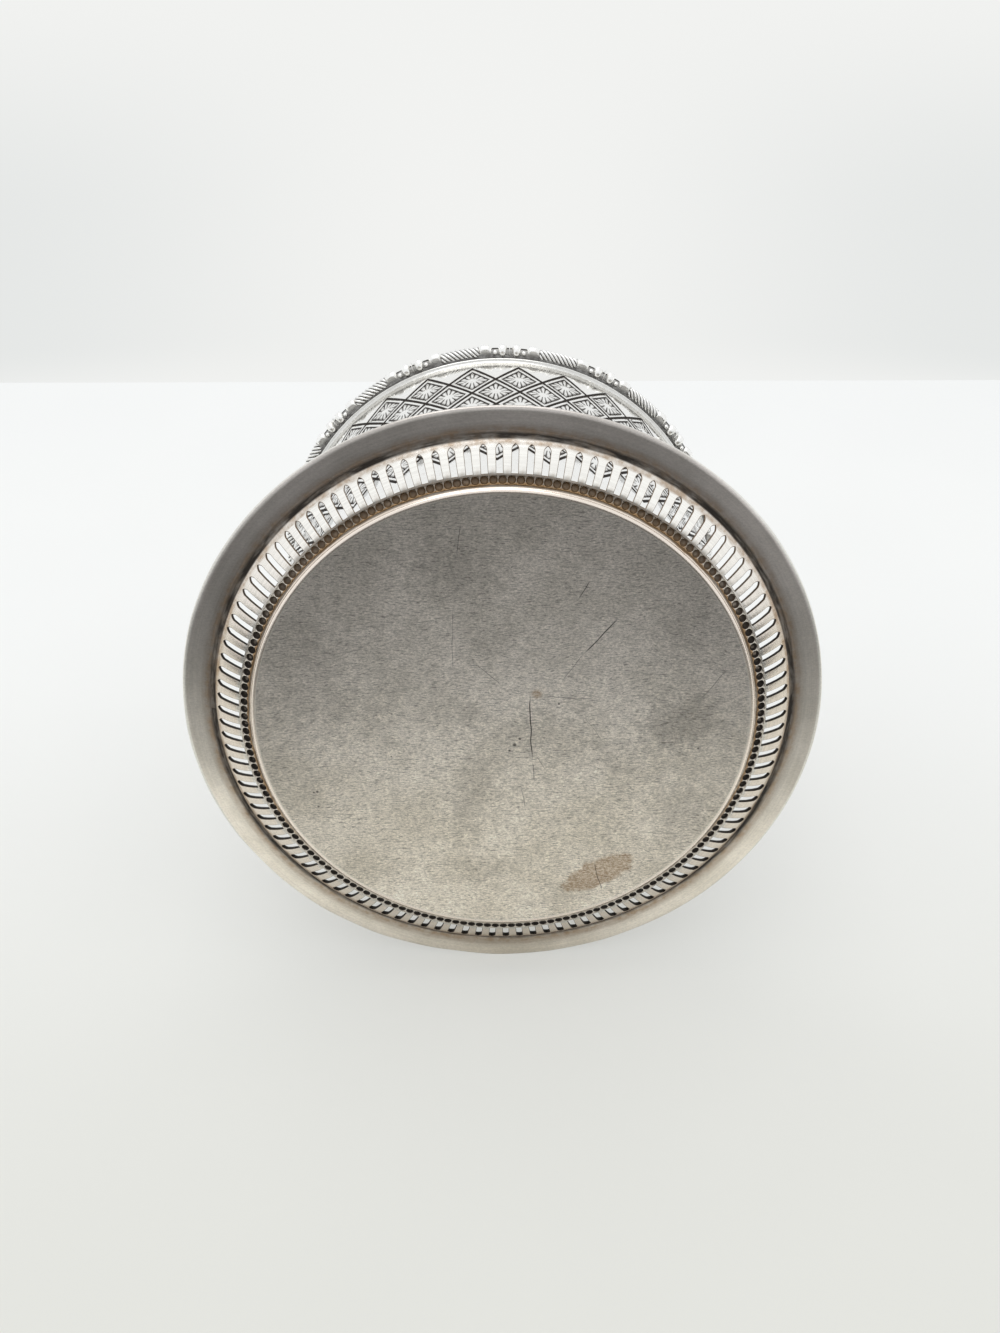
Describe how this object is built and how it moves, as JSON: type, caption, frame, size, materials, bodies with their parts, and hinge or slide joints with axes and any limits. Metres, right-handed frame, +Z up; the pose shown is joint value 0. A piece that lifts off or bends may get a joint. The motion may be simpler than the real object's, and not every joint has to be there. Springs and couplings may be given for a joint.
{
  "type": "biscuit box",
  "caption": "Round silver-plated biscuit box: trellis-worked body on a pierced undertray, hinged domed lid with a rope-and-bead edge and a knob.",
  "frame": {"origin": "centre of the underside of the tray's flat disc, on which the box stands", "axes": "+Z up along the box's axis, -Y the front, +Y the back, where the hinge is"},
  "size_m": [0.1766, 0.1766, 0.1483],
  "materials": {
    "tray_silver": "spun silver plate on the underside and gallery, satin from wear, tarnished in its grooves",
    "body_silver": "silver plate with engraved trellis lines darkened by tarnish",
    "hinge_silver": "plain silver plate",
    "pin_metal": "drawn wire, plain",
    "border_silver": "cast and plated, bright on its beads and dark between them",
    "bezel_silver": "plain silver plate",
    "cover_silver": "polished silver plate",
    "knob_silver": "turned and polished silver plate",
    "fastener_metal": "plain brass with thin plate"
  },
  "bodies": {
    "box": {"base_tray": "tray_silver", "body_shell": "body_silver", "hinge_body_leaf": "hinge_silver", "hinge_pin": "pin_metal"},
    "lid": {"hinge_lid_leaf": "hinge_silver", "lid_border": "border_silver", "lid_bezel": "bezel_silver", "lid_cover": "cover_silver", "lid_knob": "knob_silver", "knob_washer": "fastener_metal", "knob_nut": "fastener_metal"}
  },
  "joints": [
    {"name": "lid_hinge", "type": "hinge", "parent": "box", "child": "lid", "pos_m": [0, 0.0734, 0.107], "axis": [-1, 0, 0], "range_deg": [0, 100]}
  ]
}
